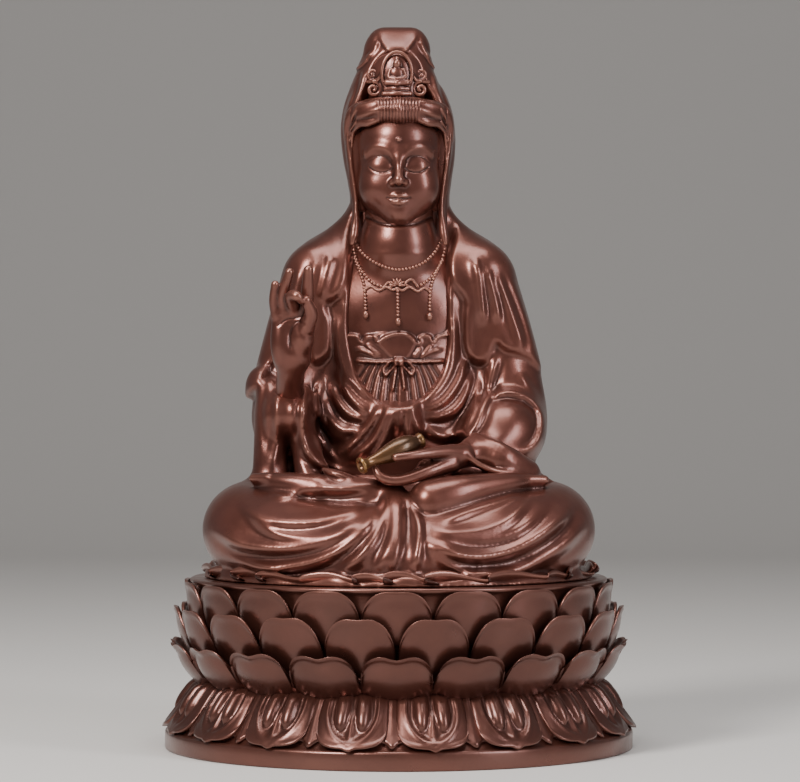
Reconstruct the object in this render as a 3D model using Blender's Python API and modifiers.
"""A seated robed figure with one hand raised and a small vase in its lap, on a round lotus throne.

Metres, +Z up, the front towards -Y, origin at the centre of the plate's underside.
Dimensions in the code are millimetres, and MM scales each mesh when it is made.
The figure is modelled as distances on a grid, and its surface is taken from them.
"""

import math

import bpy
import mathutils
import numpy as np

MM = 0.001

# Driving dimensions
SEAT_TOP = 72.4
FIGURE_FOOT = 72.7
GRID_LOW = (-92, -92, 68)
GRID_HIGH = (92, 92, 314)
GRID_STEP = 1.4
FIGURE_SHARE = 0.032
THRONE_STEP = 1.3
THRONE_SHARE = 0.021
CUP_PETALS = 19
CUP_TURN = -0.5
RING_PETALS = 18
RING_TURN = 8.4
FAR = 60.0

# Radius and height of the throne's turned body, from the underside up
THRONE_OUTLINE = [
    (0, 0), (99.4, 0), (100, 0.6), (100, 7.2), (99.2, 8), (98, 8.4), (95, 12.5), (92, 17), (88, 23),
    (84.2, 28), (80, 31), (76, 33), (76, 36), (81, 41), (84, 48), (85.6, 56), (86.8, 64), (88.8, 70.6),
    (89.2, 71.4), (88.6, 72.4), (0, 72.4),
]

# Upright petals in three tiers from the seat down; foot and tip are (radius, height)
CUP_TIERS = [
    {"foot": (87, 48), "tip": (91.4, 71.6), "half": 14.4, "belly": 1.4, "curl": 0.8,
     "notch": 0.5, "swell": 3.2, "corner": 2.7, "shift": 0},
    {"foot": (85, 35), "tip": (95.4, 61), "half": 14.4, "belly": 2.6, "curl": 0.8,
     "notch": 0.9, "swell": 3.6, "corner": 2.7, "shift": 0.5},
    {"foot": (84, 26), "tip": (96.4, 46), "half": 14.4, "belly": 2.6, "curl": 2.2,
     "notch": 1.7, "swell": 4.6, "corner": 3.4, "shift": 0},
]

# Ground that the turned-down petals lie on: height and radius
RING_HEIGHTS = [8.4, 12.5, 17, 23, 28, 31, 33.5]
RING_RADII = [98.4, 95.6, 92.6, 88.6, 84.8, 82, 79]

# The vase along its own axis from its mouth, radius and distance: up the inside, then back down the outside
VASE_INSIDE = [(0, 24), (1.6, 23.6), (3.2, 20), (3.2, 16), (2.2, 11), (1.3, 7), (1.3, 1.6), (2, 0.3)]
VASE_OUTSIDE = [
    (2.5, -0.5), (3.6, 0.3), (3.3, 1.1), (2.4, 2), (2.1, 3.6), (2.3, 6.4), (3.1, 10), (4, 13.4), (4.7, 17),
    (4.9, 20), (4.6, 23), (3.8, 25.6), (2.8, 27.8), (3.2, 28.5), (3.2, 29.6), (2.8, 30), (0, 30),
]
VASE_ROOM = [
    (0, -1), (3, -1), (4.1, 0.2), (3.9, 1.6), (2.9, 3), (2.9, 6.4), (3.7, 10), (4.6, 13.4), (5.3, 17),
    (5.5, 20), (5.2, 23), (4.4, 26), (3.8, 28), (3.8, 30.5), (0, 30.5),
]
VASE_STEPS = 10
VASE_MOUTH = (-15.4, -64, 121.2)
VASE_END = (9.8, -51, 131.8)

# Outlines in the front view, (x, z): the open chest inside the robe, and the mantle on each shoulder
CHEST_OPENING = [
    (-19.8, 226.8), (-19, 215.8), (-21.5, 185.3), (-20.7, 171.7), (-18.1, 161.1), (-14.5, 154.3),
    (-8.8, 148.4), (-0.3, 146.3), (6.9, 147.6), (12.4, 152.2), (17.5, 159.4), (20, 169), (20.8, 179.3),
    (20.4, 205.6), (21.7, 226.8),
]
MANTLE_LEFT = [
    (-18.1, 230.6), (-21.5, 220), (-22.4, 204.3), (-23.6, 198.4), (-25.8, 193.3), (-30, 189.9),
    (-31.3, 188), (-29.6, 181), (-29.6, 171.7), (-30.8, 167.5), (-35.1, 163.7), (-38.5, 167.5),
    (-40.2, 177.6), (-46.1, 168.3), (-53.7, 164.1), (-67.3, 147.1), (-73.6, 177.6), (-63, 215.8),
    (-33.4, 230.6),
]
MANTLE_RIGHT = [
    (19.2, 230.6), (21.9, 220), (21.9, 205.6), (23.4, 198.8), (27.6, 192.9), (28.5, 190.4),
    (28.5, 173.4), (30.6, 166.2), (35.3, 163.7), (38.6, 166.6), (41.2, 172.6), (42.9, 171.7),
    (45.4, 169.6), (54.7, 166.2), (64.9, 159.9), (74.7, 177.6), (64.1, 215.8), (34.4, 230.6),
]
# Cloth that hangs out of the opening's lower end
BUNCH = [
    (-5.6, 149.6), (-8.6, 143), (-13.4, 134.6), (-24.6, 125), (-13, 121.8), (-5.4, 129.5), (-1.6, 137),
    (2, 131.6), (8.6, 131.6), (9.8, 139), (7.2, 149.6),
]
# Folds in the front view: half width, height and the points of the crest
ROBE_FOLDS = [
    (0.9, 1.4, [(-19, 220), (-21.5, 185.3), (-20.7, 171.7), (-18.1, 161.1), (-14.5, 154.3), (-9.7, 148.8)]),
    (0.9, 1.4, [(20.4, 220), (20.8, 179.3), (20, 169), (17.5, 159.4), (12.4, 152.2), (6.4, 147.1)]),
    (0.9, 1.3, [(-21.5, 222.1), (-22.4, 204.3), (-23.6, 198.4), (-25.8, 193.3), (-30.4, 189.5)]),
    (0.9, 1.3, [(-29.6, 186.1), (-29.1, 177.6), (-30.4, 167.9), (-34.7, 164.1)]),
    (0.9, 1.3, [(21.9, 222.1), (21.9, 205.6), (23.4, 198.8), (27.6, 192.9), (31.9, 189.1)]),
    (2.6, 2, [(-26.6, 163.2), (-23.6, 153.1), (-17.7, 145.4), (-10.5, 140.8)]),
    (2.6, 2.2, [(-30, 156.5), (-26.6, 147.1), (-20.7, 141.2), (-11.8, 139.1)]),
    (2.8, 2.4, [(-32.3, 154.3), (-30, 141.2), (-24.1, 134.6), (-13.5, 135.3)]),
    (2.8, 2.4, [(-34.4, 158.2), (-33.8, 143.3), (-27.9, 133.2), (-17.7, 131)]),
    (3.2, 3, [(-39.3, 154.3), (-40.6, 141.2), (-40.2, 130.2),
        (-35.9, 123), (-26.6, 117.9), (-16.4, 115.8)]),
    (2.4, 1.6, [(-35.1, 135.3), (-32.5, 126.8), (-27, 122.1), (-17.7, 119.2)]),
    (2.4, 1.6, [(-26.2, 186.1), (-26.2, 171.3), (-23.2, 159.9), (-16.4, 151.4), (-9.7, 147.1)]),
    (2.4, 1.6, [(24.2, 186.1), (24.2, 169.2), (21.7, 159), (15.8, 150.5), (7.7, 145.9)]),
    (2.6, 2, [(28.5, 167.5), (27.2, 158.2), (22.5, 150.1), (16.2, 145), (7.7, 144.2)]),
    (2.6, 2.2, [(31.4, 162.4), (29.3, 151.4), (24.2, 143.7), (16.2, 140.4), (8.6, 141.6)]),
    (2.8, 2.6, [(35.3, 161.5), (32.7, 147.1), (27.6, 136.1), (20.4, 131.9), (13.2, 134), (8.1, 139.5)]),
    (3, 2.4, [(42.9, 169.6), (38.6, 154.3), (35.7, 145.4), (31.4, 136.1), (21.3, 128.1)]),
    (2.6, 2.6, [(-3.3, 148.4), (-7.5, 137.8), (-11.8, 130.2), (-20.7, 123.4)]),
    (2.4, 2.6, [(-1.2, 148.4), (-4.6, 136.1), (-8.8, 127.6), (-13.9, 121.7)]),
    (2.6, 2.6, [(-6.7, 147.1), (-12.2, 137.4), (-19.8, 129.3), (-25.8, 124.3)]),
    (2.4, 2.6, [(1.4, 147.6), (0.5, 137.8), (-0.8, 131)]),
    (2.6, 2.6, [(6.2, 148.4), (7.3, 139.5), (10.7, 132.7)]),
    (2.2, 2.6, [(3.9, 148), (4.3, 137.8), (5.6, 130.2)]),
]
SLEEVE_FOLDS = [
    (2.6, 1.8, [(31.9, 210.7), (34.4, 201.8), (36.9, 179.3)]),
    (2.4, 1.8, [(37.4, 205.6), (41.6, 190.4), (43.3, 179.8)]),
    (2.6, 1.8, [(41.6, 203.9), (48.8, 185.3), (54.3, 168.3)]),
    (2.4, 1.2, [(46.3, 203.9), (54.7, 182.7), (59, 164.1)]),
    (2.6, 2.2, [(35.3, 141.2), (38.6, 148.4), (45.8, 151), (54.7, 148.8),
        (60.3, 142.1), (59, 131.9), (53.5, 127.2), (46.3, 128.5)]),
    (2.2, 1.4, [(51.4, 159.9), (55.6, 154.3), (60.3, 147.1)]),
    (3, 1.2, [(-35.1, 209.4), (-38, 194.6), (-39.3, 177.6)]),
    (3, 1.2, [(-41.9, 206.5), (-46.1, 190.4), (-50.3, 173.4)]),
    (2.6, 1.4, [(-29.1, 211.5), (-31.7, 201), (-34.2, 190.4)]),
    (1.8, 1.4, [(-58, 159.9), (-60.1, 143.7), (-58.8, 131), (-58, 119.2)]),
    (1.8, 1.4, [(-54.6, 159.9), (-56.3, 143.7), (-55.4, 131), (-56.3, 118.3)]),
    (2, 1.6, [(-52, 156.5), (-52, 139.5), (-52, 128.5), (-55.4, 116.6)]),
    (2, 1.6, [(-43.1, 150.1), (-44.8, 141.2), (-43.6, 130.2), (-41, 121.7)]),
]
LAP_FOLDS = [
    (3, 2.2, [(-66.2, 105.1), (-59.2, 96.8), (-47.3, 96.2), (-30.8, 98), (-15.3, 103.9)]),
    (3.2, 2.6, [(-75.1, 88), (-60.3, 79.7), (-46.1, 79.9), (-30.8, 85.5), (-16, 95.6), (-10, 103.9)]),
    (2.6, 1.8, [(-69.5, 97), (-58.8, 88), (-44.8, 88), (-28.3, 92.5), (-14.3, 102)]),
    (2.2, 1.6, [(-55.1, 111), (-48.5, 109.2), (-36.6, 111.6), (-21.3, 112.1)]),
    (2.6, 2.2, [(-7.7, 113.9), (-9, 104), (-13.6, 90.4), (-21.9, 81)]),
    (2.6, 2, [(-2.9, 111.6), (-3.6, 98.7), (-7.7, 85.6), (-11.8, 79.7)]),
    (2.4, 2.4, [(1.2, 109.4), (8.3, 99.7), (8.7, 88), (5.5, 77.3)]),
    (2.8, 2, [(14.3, 96.4), (27, 96.9), (39.1, 99.7), (49.1, 105.3), (52.4, 109)]),
    (2.6, 1.8, [(12.7, 94.7), (25.3, 91.7), (39.1, 93.3), (50.1, 97.4), (58.6, 102)]),
    (3.2, 2.4, [(12, 90.8), (22.6, 84.8), (33.6, 82.6), (47.4, 84.8), (61.2, 91.4), (68.9, 97.8)]),
    (2.6, 1.8, [(12.7, 88), (18.6, 81.4), (31, 78.1), (45.8, 78.1), (61.1, 81.4), (72.6, 89.2)]),
]


def smooth_min(a, b, blend):
    """The lower of two distances, with the crease between them filled."""
    if blend <= 0:
        return np.minimum(a, b)
    overlap = np.maximum(blend - np.abs(a - b), 0)
    return np.minimum(a, b) - overlap * overlap / (4 * blend)


def smooth_step(low, high, value):
    """Rises from 0 at low to 1 at high."""
    share = np.clip((value - low) / (high - low), 0, 1)
    return share * share * (3 - 2 * share)


def curve(points, per_span=6):
    """Points along a smooth curve through the given ones."""
    p = np.array(points, np.float64)
    if len(p) < 3:
        share = np.linspace(0, 1, per_span + 1)[:, None]
        return p[0] * (1 - share) + p[-1] * share
    padded = np.vstack([2 * p[0] - p[1], p, 2 * p[-1] - p[-2]])
    t = np.linspace(0, 1, per_span, endpoint=False)[:, None]
    spans = []
    for a, b, c, d in zip(padded, padded[1:], padded[2:], padded[3:]):
        square = (2 * a - 5 * b + 4 * c - d) * t**2
        cube = (3 * b - a - 3 * c + d) * t**3
        spans.append(0.5 * (2 * b + (c - a) * t + square + cube))
    return np.vstack(spans + [p[-1:]])


class Ball:
    """An ellipsoid."""

    def __init__(self, centre, radii):
        self.centre = np.array(centre, np.float32)
        self.radii = np.broadcast_to(np.array(radii, np.float32), (3,))
        self.low = self.centre - self.radii
        self.high = self.centre + self.radii

    def distance(self, x, y, z):
        q = [x - self.centre[0], y - self.centre[1], z - self.centre[2]]
        k0 = np.sqrt(sum((v / r) ** 2 for v, r in zip(q, self.radii)))
        k1 = np.sqrt(sum((v / r**2) ** 2 for v, r in zip(q, self.radii)))
        return k0 * (k0 - 1) / np.maximum(k1, 1e-6)


class Limb:
    """A round bar through points (x, y, z, radius)."""

    def __init__(self, points, per_span=4):
        self.points = curve(points, per_span)
        p = self.points[:, :3]
        r = self.points[:, 3:]
        self.low = (p - r).min(0)
        self.high = (p + r).max(0)

    def distance(self, x, y, z):
        near = None
        for a, b in zip(self.points, self.points[1:]):
            along = b[:3] - a[:3]
            qx, qy, qz = x - a[0], y - a[1], z - a[2]
            t = (qx * along[0] + qy * along[1] + qz * along[2]) / max(float(along @ along), 1e-9)
            t = np.clip(t, 0, 1).astype(np.float32)
            gap = np.sqrt((qx - t * along[0]) ** 2 + (qy - t * along[1]) ** 2 + (qz - t * along[2]) ** 2)
            gap = gap - (a[3] + t * (b[3] - a[3]))
            near = gap if near is None else np.minimum(near, gap)
        return near


class Sheet:
    """Cloth lying flat on the seat, round in plan, with a rim that waves in and out and up and down."""

    def __init__(self, centre, radius, bottom, top, waves, depth):
        self.centre = centre
        self.radius = radius
        self.bottom = bottom
        self.top = top
        self.waves = waves
        self.depth = depth
        reach = radius + depth
        self.low = np.array([centre[0] - reach, centre[1] - reach, bottom])
        self.high = np.array([centre[0] + reach, centre[1] + reach, top + 2])

    def distance(self, x, y, z):
        qx = x - self.centre[0]
        qy = y - self.centre[1]
        turn = np.arctan2(qx, -qy) * self.waves
        rim = self.radius + self.depth * (0.7 * np.sin(turn + 0.4) + 0.3 * np.sin(2.3 * turn + 1.1))
        lift = 1.2 * np.sin(turn + 1.2)
        return np.maximum(np.hypot(qx, qy) - rim, np.maximum(self.bottom - z, z - self.top - lift))


class Clay:
    """A block of space that shapes are added to and cut from, as signed distances on a grid."""

    def __init__(self, low, high, step):
        self.step = step
        self.axes = [np.arange(a, b + step, step, dtype=np.float32) for a, b in zip(low, high)]
        self.field = np.full([len(a) for a in self.axes], FAR, np.float32)

    def distances(self, shape, reach):
        """The shape's distances in a window around it, and that window."""
        window = []
        for axis, low, high in zip(self.axes, shape.low - reach, shape.high + reach):
            first, last = np.searchsorted(axis, (low, high))
            window.append(slice(first, last))
        x, y, z = (axis[part] for axis, part in zip(self.axes, window))
        near = shape.distance(x[:, None, None], y[None, :, None], z[None, None, :])
        return tuple(window), near.astype(np.float32)

    def add(self, shape, blend=0.0):
        window, near = self.distances(shape, blend + 2 * self.step)
        self.field[window] = smooth_min(self.field[window], near, blend)

    def cut(self, shape, blend=0.0):
        window, near = self.distances(shape, blend + 2 * self.step)
        self.field[window] = -smooth_min(-self.field[window], near, blend)

    def keep_above(self, height):
        self.field = np.maximum(self.field, height - self.axes[2][None, None, :])

    def soften(self, times):
        """Evens out the field over about as many cells as times."""
        for _ in range(times):
            for axis in range(3):
                along = np.moveaxis(self.field, axis, 0)
                even = along.copy()
                even[1:-1] = 0.5 * along[1:-1] + 0.25 * (along[:-2] + along[2:])
                self.field = np.moveaxis(even, 0, axis)

    def close_pinches(self):
        """Fills cells that two parts of the surface would meet in along an edge."""
        field = self.field
        found = True
        while found:
            found = False
            inside = field < 0
            for axis in range(3):
                u, v = [(1, 2), (2, 0), (0, 1)][axis]
                corners = []
                for du, dv in ((0, 0), (1, 0), (1, 1), (0, 1)):
                    part = [slice(None)] * 3
                    part[u] = slice(du, field.shape[u] - 1 + du)
                    part[v] = slice(dv, field.shape[v] - 1 + dv)
                    corners.append(tuple(part))
                a, b, c, d = (inside[part] for part in corners)
                pinched = (a == c) & (b == d) & (a != b)
                if not pinched.any():
                    continue
                found = True
                for part in corners:
                    block = field[part]
                    block[pinched & (block >= 0)] = -0.1 * self.step

    def fill_cavities(self):
        """Fills air that can't be reached from the block's first face."""
        air = self.field >= 0
        reached = np.zeros_like(air)
        reached[0] = air[0]
        count = 0
        while reached.sum() != count:
            count = reached.sum()
            for axis in range(3):
                layers = np.moveaxis(reached, axis, 0)
                free = np.moveaxis(air, axis, 0)
                for i in range(1, len(layers)):
                    layers[i] |= layers[i - 1] & free[i]
                for i in range(len(layers) - 2, -1, -1):
                    layers[i] |= layers[i + 1] & free[i]
        self.field[air & ~reached] = -0.1 * self.step

    def mesh(self, name):
        self.close_pinches()
        self.fill_cavities()
        return surface(name, self.field, [axis[0] for axis in self.axes], self.step)


def surface(name, field, origin, step):
    """A mesh with a vertex in each cell that the surface crosses and a face across each crossed edge."""
    inside = field < 0
    n = [size - 1 for size in field.shape]
    corners = [(i, j, k) for i in (0, 1) for j in (0, 1) for k in (0, 1)]
    count = np.zeros(n, np.uint8)
    for i, j, k in corners:
        count += inside[i:n[0] + i, j:n[1] + j, k:n[2] + k]
    cells = np.argwhere((count > 0) & (count < 8))
    number = np.full(n, -1, np.int32)
    number[tuple(cells.T)] = np.arange(len(cells))
    value = np.stack([field[tuple((cells + corner).T)] for corner in corners], 1)
    total = np.zeros((len(cells), 3), np.float32)
    weight = np.zeros(len(cells), np.float32)
    for a, corner in enumerate(corners):
        for axis in range(3):
            if corner[axis]:
                continue
            b = a + (4, 2, 1)[axis]
            crossed = (value[:, a] < 0) != (value[:, b] < 0)
            gap = np.where(crossed, value[:, a] - value[:, b], 1)
            place = np.tile(np.array(corner, np.float32), (len(cells), 1))
            place[:, axis] += value[:, a] / gap
            total += place * crossed[:, None]
            weight += crossed
    points = (cells + total / weight[:, None]) * step + np.array(origin)
    rings = []
    for axis in range(3):
        u, v = [(1, 2), (2, 0), (0, 1)][axis]
        here = [slice(1, -1)] * 3
        ahead = [slice(1, -1)] * 3
        here[axis] = slice(0, -1)
        ahead[axis] = slice(1, None)
        first = inside[tuple(here)]
        at = np.argwhere(first != inside[tuple(ahead)])
        outward = first[tuple(at.T)]
        at += 1
        at[:, axis] -= 1
        ring = []
        for du, dv in ((1, 1), (0, 1), (0, 0), (1, 0)):
            cell = at.copy()
            cell[:, u] -= du
            cell[:, v] -= dv
            ring.append(number[tuple(cell.T)])
        ring = np.stack(ring, 1)
        ring[~outward] = ring[~outward][:, ::-1]
        rings.append(ring)
    mesh = bpy.data.meshes.new(name)
    mesh.from_pydata((points * MM).tolist(), [], np.vstack(rings).tolist())
    mesh.update()
    return mesh


class Relief:
    """Low relief drawn in the front view and pressed into the clay from the front."""

    def __init__(self, clay):
        self.clay = clay
        self.x = clay.axes[0][:, None]
        self.z = clay.axes[2][None, :]
        self.panels = np.zeros((len(clay.axes[0]), len(clay.axes[2])), np.float32)
        self.ridges = self.panels.copy()

    def nearest(self, line, reach):
        """Distance to a line and the share of its length at the nearest point, in a window."""
        low = line.min(0) - reach
        high = line.max(0) + reach
        spans = [np.searchsorted(axis, (a, b)) for axis, a, b in zip(self.clay.axes[::2], low, high)]
        window = tuple(slice(*span) for span in spans)
        x = self.x[window[0]]
        z = self.z[:, window[1]]
        best = np.full(self.panels[window].shape, 1e9, np.float32)
        place = np.zeros_like(best)
        lengths = np.hypot(*np.diff(line, axis=0).T)
        start = np.concatenate([[0], np.cumsum(lengths)])
        for i, (a, b) in enumerate(zip(line, line[1:])):
            ux, uz = b - a
            t = np.clip(((x - a[0]) * ux + (z - a[1]) * uz) / max(ux * ux + uz * uz, 1e-9), 0, 1)
            gap = np.hypot(x - a[0] - t * ux, z - a[1] - t * uz)
            closer = gap < best
            best = np.where(closer, gap, best)
            place = np.where(closer, (start[i] + t * lengths[i]) / start[-1], place)
        return window, best, place

    def ridge(self, width, height, points, taper=0.15):
        window, gap, place = self.nearest(curve(points), width)
        shape = smooth_step(0, 1, 1 - gap / width)
        ends = smooth_step(0, taper, place) * smooth_step(0, taper, 1 - place)
        self.ridges[window] = np.maximum(self.ridges[window], shape * ends * height)

    def panel(self, points, height, edge=1.0):
        """Raises the inside of a closed outline, with a soft edge."""
        line = curve(list(points) + [points[0]])
        window, gap, _ = self.nearest(line, edge)
        x = self.x[window[0]]
        z = self.z[:, window[1]]
        within = np.zeros(gap.shape, bool)
        for a, b in zip(line, line[1:]):
            if a[1] == b[1]:
                continue
            spans = (z >= min(a[1], b[1])) & (z < max(a[1], b[1]))
            within ^= spans & (x < a[0] + (z - a[1]) * (b[0] - a[0]) / (b[1] - a[1]))
        signed = np.where(within, gap, -gap)
        self.panels[window] += height * smooth_step(-edge / 2, edge / 2, signed)

    def press(self, front, back):
        """Moves the surface out by the drawn height where y is under front, and not at all past back."""
        y = self.clay.axes[1][None, :, None]
        self.clay.field -= (self.panels + self.ridges)[:, None, :] * (1 - smooth_step(front, back, y))


class Hood:
    """A round form along a bar, kept only behind a front edge whose depth is given at some heights."""

    def __init__(self, bar, heights, depths):
        self.bar = bar
        self.heights = heights
        self.depths = depths
        self.low = bar.low
        self.high = bar.high

    def distance(self, x, y, z):
        edge = np.interp(z, self.heights, self.depths)
        return -smooth_min(-self.bar.distance(x, y, z), y - edge, 1.5)


def model_torso(clay):
    """Chest, shoulders and the arms in their sleeves."""
    clay.add(Ball((0, 14, 184), (40, 27, 38)))
    clay.add(Ball((0, 11, 142), (40, 28, 42)), 12)
    clay.add(Ball((0, 24, 118), (50, 36, 34)), 10)
    clay.add(Limb([(0, 10, 196, 20), (0, 5, 232, 12.3)]), 8)
    clay.add(Limb([(0.4, 15, 240, 20), (0, 17.6, 214, 22.4), (0, 18, 190, 22)]), 6)
    upper_arm = [(34.4, 12, 198, 16.6), (41.6, 11, 174, 16.2), (47, 7, 148, 15.8), (46, 4, 136, 15)]
    for side in (-1, 1):
        clay.add(Limb([(side * 10, 12, 213, 10), (side * 32, 13, 202.5, 14.6)]), 5)
        clay.add(Limb([(side * x, y, z, r) for x, y, z, r in upper_arm]), 6)
        clay.add(Limb([(side * 15, 14, 227, 6.5), (side * 30, 14, 212, 8)]), 6)
    # sleeve hanging from the raised forearm
    clay.add(Limb([(-48, 2, 138, 13.5), (-47, -18, 142, 10)]), 6)
    clay.add(Limb([(-55, -10, 152, 5), (-55, -14, 134, 6.5), (-54, -18, 112, 8)]), 5)
    clay.add(Limb([(-46, 3, 142, 10), (-46, 3, 110, 11)]), 4)
    clay.add(Limb([(-58, -4, 155, 5), (-62.5, 0, 149.5, 1.2)]), 3)
    clay.add(Limb([(-41, -14, 150, 5), (-40, -18, 132, 5.5), (-37, -24, 112, 6)]), 4)
    # sleeve of the arm resting in the lap
    clay.add(Limb([(47, 6, 142, 14), (46, -8, 132, 15.5), (37, -22, 124, 11), (26, -36, 120, 8)]), 6)
    clay.add(Ball((43.5, -10, 134), (16.5, 14, 14.5)), 4)
    clay.add(Limb([(30, -34, 118, 7), (44, -30, 113, 8), (52, -14, 113, 8.5)]), 5)


def fold_torso(clay):
    relief = Relief(clay)
    relief.panel(CHEST_OPENING, -2.6, 0.9)
    relief.panel(MANTLE_LEFT, 2.4, 1.2)
    relief.panel(MANTLE_RIGHT, 2.4, 1.2)
    relief.panel(BUNCH, 2, 1.6)
    for width, height, points in ROBE_FOLDS + SLEEVE_FOLDS:
        relief.ridge(width, height, points)
    relief.press(-4, 12)


def model_legs(clay):
    """Crossed legs under the robe, the feet and the cloth spread on the seat."""
    clay.add(Ball((0, 10, 90), (58, 52, 25)), 6)
    leg = [(32, 24, 94, 24), (54, -6, 94, 21), (62.3, -28, 93.3, 20), (46, -48, 90, 18.5), (14, -58, 88, 16)]
    for side in (-1, 1):
        clay.add(Limb([(side * x, y, z, r) for x, y, z, r in leg]), 6)
    clay.add(Ball((0, -40, 82), (52, 40, 20)), 8)
    clay.add(Limb([(-58, -36, 113.4, 3.4), (-46, -44, 113, 5), (-26, -50, 111, 6.2), (-6, -52, 108, 7)]), 2)
    clay.add(Sheet((0, -2), 84.5, 70, 76.4, 17, 1.6), 2.5)
    clay.add(Ball((0, -2, 72), (82, 82, 12)), 4)


def fold_legs(clay):
    relief = Relief(clay)
    for width, height, points in LAP_FOLDS:
        relief.ridge(width, height, points)
    relief.press(-30, -8)
    bare_foot = [(60, -37, 114, 2.4), (47.4, -45, 114.1, 4.4), (33.4, -52, 111.7, 6.4),
                 (22.7, -56, 109, 8.2), (13, -58, 106, 9.5)]
    clay.add(Limb(bare_foot), 2)
    far_foot = [(-60, -38, 115, 3), (-55, -41, 114.8, 3.6), (-46, -46, 113.6, 4.8), (-34, -50, 112, 5.4)]
    clay.add(Limb(far_foot), 2)


def model_raised_hand(clay):
    """Palm forwards, with three fingers up and the middle finger bent to the thumb."""
    clay.add(Limb([(-45.5, -22, 155.6, 6.2), (-44.8, -28, 162.3, 6.4), (-44.3, -31, 168.1, 7.4)]), 3)
    clay.add(Ball((-44.3, -33, 175.7), (9.0, 5.2, 11)), 4)
    fingers = [
        [(-40, -35, 171, 4.4), (-36.8, -39, 184, 3.1), (-38.4, -42.6, 189.2, 2.5)],
        [(-50.5, -35, 181, 3), (-52, -36, 189.6, 2.5), (-51.6, -37.4, 196, 2)],
        [(-47.6, -35.4, 183.1, 3.1), (-48.2, -37, 192.6, 2.6), (-45.6, -39, 201.2, 2.1)],
        [(-39.2, -35.6, 183.1, 3.2), (-38, -38, 194, 2.8), (-37.6, -40, 202.4, 2.2)],
        [(-42.9, -36, 183.1, 3.1), (-44.4, -41.6, 190, 2.7), (-41.8, -44.6, 191.2, 2.4),
            (-39.6, -44, 189.2, 2.2)],
    ]
    for finger in fingers:
        clay.add(Limb(finger), 1.2)


def model_lap_hand(clay):
    """Palm up under the vase, the thumb laid along it, the wrist in a flared cuff."""
    palm = [(38, -34, 126, 6.4), (28, -43, 125, 5), (20, -48, 122.8, 4.8), (11, -52, 119.6, 4)]
    clay.add(Limb(palm), 2)
    thumb = [(26, -46, 126, 4), (19, -52, 126.6, 3), (11, -57.6, 126, 2.5), (-1, -62, 124.5, 2.2)]
    clay.add(Limb(thumb), 1.4)
    for k in range(4):
        back = 3.8 * k
        finger = [(13, -56 + back, 119, 3.2), (4, -59 + back, 115.8, 2.8), (-2.6, -60.6 + back, 115, 2.5)]
        clay.add(Limb(finger + [(-8.4, -60.6 + back, 118, 2.1)]), 1)
    clay.add(Limb([(34, -32, 128, 5.4), (43, -34, 123.6, 6.6), (52, -28, 118.6, 6)]), 4)
    rim = [(32, -34, 133.6, 1.6), (26.6, -42, 130.2, 1.4), (28, -48, 126, 1.4), (37, -51.6, 120, 1.5),
           (53, -40, 117.6, 1.8)]
    clay.add(Limb(rim), 1.6)
    edge = [(33, -35, 133.4, 1.6), (42, -39, 129.6, 1.6), (51, -37, 123.4, 1.6), (67, -20, 111, 1.8)]
    clay.add(Limb(edge), 2)


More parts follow.
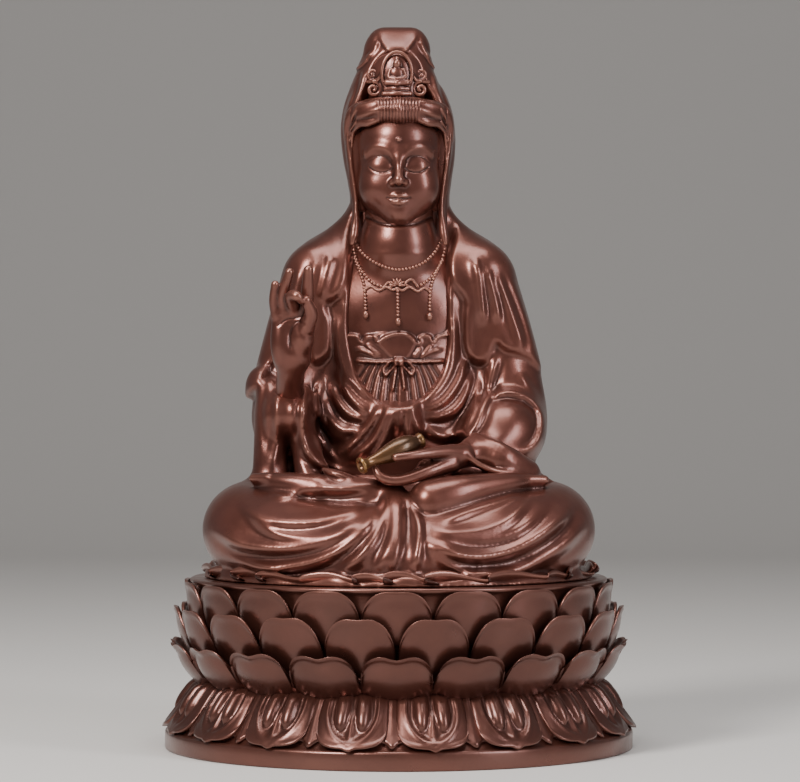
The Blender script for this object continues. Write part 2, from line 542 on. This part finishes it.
def model_head(clay):
    """Head with its hair, crown and hood."""
    cloth = [(-1, 8, 290.8, 15), (-1.2, 9, 287, 16.6), (-1.6, 10, 281, 18.8), (-1.3, 11, 274.5, 21.6),
             (-0.5, 12, 266, 24.8), (0, 13, 256, 24.6), (0.3, 14, 246, 23), (0.4, 15, 234, 21.6),
             (0, 17, 214, 23.5)]
    clay.add(Hood(Limb(cloth), [206, 216, 232, 248, 264, 280, 300, 310], [-6, -3, 1, 1, -1, -3, -5, -8]), 2)
    clay.add(Limb([(-6.2, 8.4, 299.6, 7.6), (5, 8.4, 299.6, 7.6)]), 4)
    clay.add(Ball((0, 7, 252), (18.4, 22.5, 26)))
    clay.add(Ball((0, -1, 257), (16.8, 15.6, 14)), 4)
    clay.add(Ball((0, -1.5, 237), (14.6, 14.2, 13.4)), 5)
    clay.add(Ball((0, -10.5, 229), (5.6, 5.8, 5)), 5)
    edge = [(20.8, 0, 264, 1.8), (20.9, 0.4, 254, 1.9), (20, -0.4, 242, 1.8), (18.6, -1, 231, 1.8),
            (18.8, -2.6, 222, 2)]
    for side in (-1, 1):
        clay.cut(Ball((side * 7.9, -20, 247.6), (6.6, 5, 4)), 3)
        clay.add(Ball((side * 7.7, -12.2, 246.6), (5.6, 4.8, 3.9)), 1)
        clay.add(Ball((side * 8.6, -8.6, 238), (7, 7, 7)), 4)
        clay.add(Limb([(side * x, y, z, r) for x, y, z, r in edge]), 1)
    clay.add(Limb([(0, -15.6, 252.5, 1.5), (0, -18.4, 244, 1.9), (0, -19.6, 240.4, 2.5)]), 1.5)
    clay.add(Limb([(-4.4, -15.8, 234, 1), (0, -17.2, 234.6, 1.3), (4.4, -15.8, 234, 1)]), 0.8)
    clay.add(Limb([(-3.6, -15.6, 232.4, 1), (0, -17, 231.7, 1.6), (3.6, -15.6, 232.4, 1)]), 0.8)
    # roll of hair over the brow
    roll = [(20.8, 1.4, 258, 2.4), (20.4, -1.4, 265.4, 3), (17.8, -4.8, 270.4, 3.9), (11, -9.6, 271, 4.9),
            (0, -12.6, 271, 5.6)]
    for side in (-1, 1):
        clay.add(Limb([(side * x, y, z, r) for x, y, z, r in roll]), 1)
    # crown with a small seated figure, in front of the knot of hair
    clay.add(Ball((-1, 5, 281), (14, 13, 14)), 2)
    clay.add(Ball((-0.8, 3.4, 288), (12.4, 10.6, 11.4)), 3)
    clay.add(Ball((-0.6, -5, 283), (8, 4.5, 10.6)), 0.6)
    clay.add(Ball((-0.6, -9.6, 290.4), (2.3, 2.3, 2.6)), 0.5)
    clay.add(Ball((-0.6, -9.4, 283.8), (4.6, 3.4, 4.6)), 0.8)
    clay.add(Ball((-0.6, -9.8, 277.6), (6.2, 3.8, 2.4)), 0.8)
    for side in (-1, 1):
        clay.add(Ball((side * 10.4 - 0.6, -6.4, 278.6), (3.8, 3.4, 4.4)), 0.8)
        clay.cut(Limb([(side * 16.4 - 0.8, -6.5, 275.6, 2.6), (side * 12.4 - 1, -7.5, 293, 2.4)]), 1)


def figure_clay(low, high, step):
    clay = Clay(low, high, step)
    model_torso(clay)
    fold_torso(clay)
    model_legs(clay)
    fold_legs(clay)
    model_raised_hand(clay)
    model_lap_hand(clay)
    model_head(clay)
    clay.keep_above(FIGURE_FOOT)
    return clay


class Turned:
    """A body turned about the z axis from a closed outline of (radius, height) points."""

    def __init__(self, outline):
        self.outline = np.array(outline, np.float64)
        reach = self.outline[:, 0].max()
        self.low = np.array([-reach, -reach, self.outline[:, 1].min()])
        self.high = np.array([reach, reach, self.outline[:, 1].max()])

    def distance(self, x, y, z):
        reach = np.hypot(x, y)
        radii = np.arange(0, reach.max() + 1, 0.5)[:, None]
        heights = z.reshape(1, -1)
        gap = np.full((len(radii), heights.shape[1]), FAR)
        within = np.zeros(gap.shape, bool)
        for a, b in zip(self.outline, np.roll(self.outline, -1, 0)):
            ux, uz = b - a
            t = np.clip(((radii - a[0]) * ux + (heights - a[1]) * uz) / max(ux * ux + uz * uz, 1e-9), 0, 1)
            if max(a[0], b[0]) > 0:
                gap = np.minimum(gap, np.hypot(radii - a[0] - t * ux, heights - a[1] - t * uz))
            if a[1] != b[1]:
                spans = (heights >= min(a[1], b[1])) & (heights < max(a[1], b[1]))
                within ^= spans & (radii < a[0] + (heights - a[1]) * ux / uz)
        table = np.where(within, -gap, gap)
        rows = [np.interp(reach[:, :, 0], radii[:, 0], table[:, k]) for k in range(table.shape[1])]
        return np.stack(rows, -1)


class Petals:
    """Equal petals round the z axis. shape gives distances from (width across a petal, radius, height)."""

    def __init__(self, count, turn, shape, low, high):
        self.pitch = 2 * math.pi / count
        self.turn = math.radians(turn)
        self.shape = shape
        self.low = np.array([-102, -102, low], np.float64)
        self.high = np.array([102, 102, high], np.float64)

    def distance(self, x, y, z):
        radius = np.hypot(x, y)
        angle = np.arctan2(x, -y) - self.turn
        angle = (angle + self.pitch / 2) % self.pitch - self.pitch / 2
        return self.shape(angle * radius, radius, z)


def cup_petal(tier):
    """An upright petal, swelling across its middle, with a round top and a slightly curled lip."""
    (r0, z0), (r1, z1) = tier["foot"], tier["tip"]

    def shape(side, radius, z):
        up = np.clip((z - z0) / (z1 - z0), 0, 1.1)
        half = tier["half"] * (1 - 0.3 * np.clip(1 - up * 1.5, 0, 1) ** 2)
        s = np.clip(side / half, -1, 1)
        corner = tier["corner"]
        outline = 0.3 + 0.7 * (1 - np.abs(s) ** corner) ** (1 / corner)
        outline = outline - tier["notch"] * np.exp(-((s / 0.3) ** 2)) / (z1 - z0)
        outer = r0 + (r1 - r0) * up**0.8 + tier["belly"] * np.sin(math.pi * np.clip(up, 0, 1))
        outer = outer - tier["swell"] * (1 - np.sqrt(1 - 0.96 * s * s))
        outer = outer + tier["curl"] * np.clip((up / outline - 0.78) / 0.22, 0, 1.2) ** 2
        thick = 2.4 + 12 * np.clip(1 - up * 1.25, 0, 1)
        skin = np.maximum(radius - outer, outer - thick - radius)
        top = z0 + (z1 - z0) * outline
        return np.maximum(np.maximum(skin, z - top), np.maximum(np.abs(side) - half, z0 - z))

    return Petals(CUP_PETALS, CUP_TURN + 360 / CUP_PETALS * tier["shift"], shape, z0, z1 + 2)


def ring_petal():
    """A turned-down petal with two long drops, a rib between them and a small point at its tip."""

    def shape(side, radius, z):
        ground = np.interp(z, RING_HEIGHTS, RING_RADII)
        down = np.clip((33.6 - z) / 24.6, 0, 1.1)
        half = 14.8 * (0.94 + 0.06 * np.sin(np.clip(down * 1.3, 0, 1) * math.pi / 2)) * ground / 94
        s = np.clip(side / half, -1, 1)
        a = np.abs(s)
        lip = 0.56 + 0.44 * (1 - a**3.2) ** (1 / 3.2) + 0.045 * np.exp(-((s / 0.12) ** 2))
        drop = 1 - ((a - 0.31) / 0.22) ** 2 - (np.maximum(down - 0.42, 0) / 0.3) ** 2
        oval = 3.2 * np.sqrt(np.clip(drop, 0, 1)) * smooth_step(0, 0.3, down)
        bowl = np.hypot(a / 0.7, np.maximum(down - 0.3, 0) / 0.56)
        rib = 1.3 * np.exp(-((s / 0.08) ** 2)) * smooth_step(0.3, 0.6, down)
        raised = 3 * np.sqrt(1 - 0.94 * a**4) + oval + rib - 1.3 * smooth_step(1.05, 0.93, bowl)
        outer = ground + raised * smooth_step(0.04, 0.24, down)
        skin = np.maximum((radius - outer) * 0.8, outer - 7 - radius)
        tip = 33.6 - 24.6 * lip
        return np.maximum(np.maximum(skin, tip - z), np.maximum(np.abs(side) - half, z - 33.6))

    return Petals(RING_PETALS, RING_TURN, shape, 7, 35)


def throne_clay(step):
    clay = Clay((-102, -102, -2), (102, 102, 78), step)
    clay.add(Turned(THRONE_OUTLINE))
    clay.add(ring_petal(), 0.6)
    for tier in reversed(CUP_TIERS):
        clay.add(cup_petal(tier), 0.6)
    clay.soften(1)
    return clay


def put(name, mesh, collection):
    obj = bpy.data.objects.new(name, mesh)
    collection.objects.link(obj)
    return obj


def turned(name, profile, steps, collection):
    """A body turned about the z axis from (radius, height) points."""
    mesh = bpy.data.meshes.new(name)
    links = [(i, i + 1) for i in range(len(profile) - 1)]
    mesh.from_pydata([(r * MM, 0, z * MM) for r, z in profile], links, [])
    obj = put(name, mesh, collection)
    turn = obj.modifiers.new("turn", "SCREW")
    turn.steps = turn.render_steps = steps
    turn.use_merge_vertices = True
    turn.merge_threshold = 0.0001
    turn.use_normal_calculate = True
    return obj


def thin(obj, share):
    """Keeps this share of the faces, where the shape needs them."""
    fewer = obj.modifiers.new("thin", "DECIMATE")
    fewer.ratio = share
    fewer.use_collapse_triangulate = True


def material(name, colour, metallic, roughness):
    made = bpy.data.materials.new(name)
    made.use_nodes = True
    shader = made.node_tree.nodes["Principled BSDF"]
    shader.inputs["Base Color"].default_value = (*colour, 1)
    shader.inputs["Metallic"].default_value = metallic
    shader.inputs["Roughness"].default_value = roughness
    return made


def collection_named(name):
    made = bpy.data.collections.new(name)
    bpy.context.scene.collection.children.link(made)
    return made


def build_throne(parts):
    throne = put("lotus_throne", throne_clay(THRONE_STEP).mesh("lotus_throne"), parts)
    thin(throne, THRONE_SHARE)
    throne.data.materials.append(material("patinated_copper_throne", (0.12, 0.045, 0.028), 0.85, 0.4))


def lean(obj):
    """Lays a body turned about z along the vase's own axis."""
    start = mathutils.Vector(VASE_MOUTH)
    obj.rotation_mode = "QUATERNION"
    obj.rotation_quaternion = (mathutils.Vector(VASE_END) - start).to_track_quat("Z", "Y")
    obj.location = start * MM


def build_vase(parts):
    vase = turned("vase", VASE_INSIDE + VASE_OUTSIDE, VASE_STEPS, parts)
    lean(vase)
    vase.data.materials.append(material("worn_gilt", (0.3, 0.19, 0.05), 0.9, 0.35))


def build_figure(parts, cutters):
    clay = figure_clay(GRID_LOW, GRID_HIGH, GRID_STEP)
    figure = put("guanyin_figure", clay.mesh("guanyin_figure"), parts)
    thin(figure, FIGURE_SHARE)
    room = turned("vase_room", VASE_ROOM, VASE_STEPS, cutters)
    lean(room)
    room.hide_render = True
    room.display_type = "WIRE"
    hollow = figure.modifiers.new("vase_room", "BOOLEAN")
    hollow.operation = "DIFFERENCE"
    hollow.solver = "EXACT"
    hollow.object = room
    figure.data.materials.append(material("patinated_copper", (0.12, 0.045, 0.028), 0.85, 0.4))


def main():
    for obj in list(bpy.data.objects):
        bpy.data.objects.remove(obj)
    parts = collection_named("guanyin_figure")
    cutters = collection_named("cutters")
    build_figure(parts, cutters)
    build_throne(parts)
    build_vase(parts)


main()
